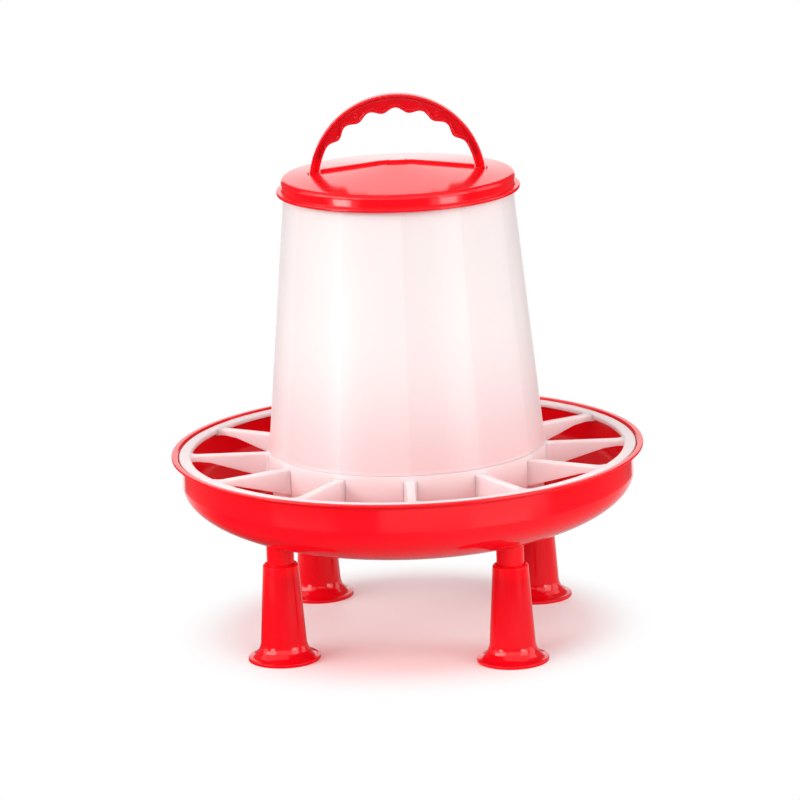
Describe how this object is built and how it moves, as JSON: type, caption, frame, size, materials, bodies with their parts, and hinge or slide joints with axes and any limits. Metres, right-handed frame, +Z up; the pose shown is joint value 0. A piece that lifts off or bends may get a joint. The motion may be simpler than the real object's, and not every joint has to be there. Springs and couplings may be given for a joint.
{
  "type": "poultry feeder",
  "caption": "Free-standing poultry feeder: round pan on push-on legs, feeding grille, tapered milky hopper, low domed lid and arched finger-grip handle.",
  "frame": {"origin": "on the floor under the centre of the pan, at the middle of the box's underside", "axes": "+Z up along the pan's and the barrel's axis, -Y towards the pictured front, +X to the right in the picture; the handle's arch lies in the XZ plane"},
  "size_m": [0.325, 0.325, 0.375],
  "materials": {
    "red_plastic": "gloss",
    "white_plastic": "satin gloss",
    "milky_plastic": "translucent, satin gloss"
  },
  "bodies": {
    "root": {"feed_pan": "red_plastic", "leg_front_left": "red_plastic", "leg_front_right": "red_plastic", "leg_back_left": "red_plastic", "leg_back_right": "red_plastic", "feeding_grille": "white_plastic", "hopper_barrel": "milky_plastic", "lid": "red_plastic", "carry_handle": "red_plastic"}
  },
  "joints": []
}
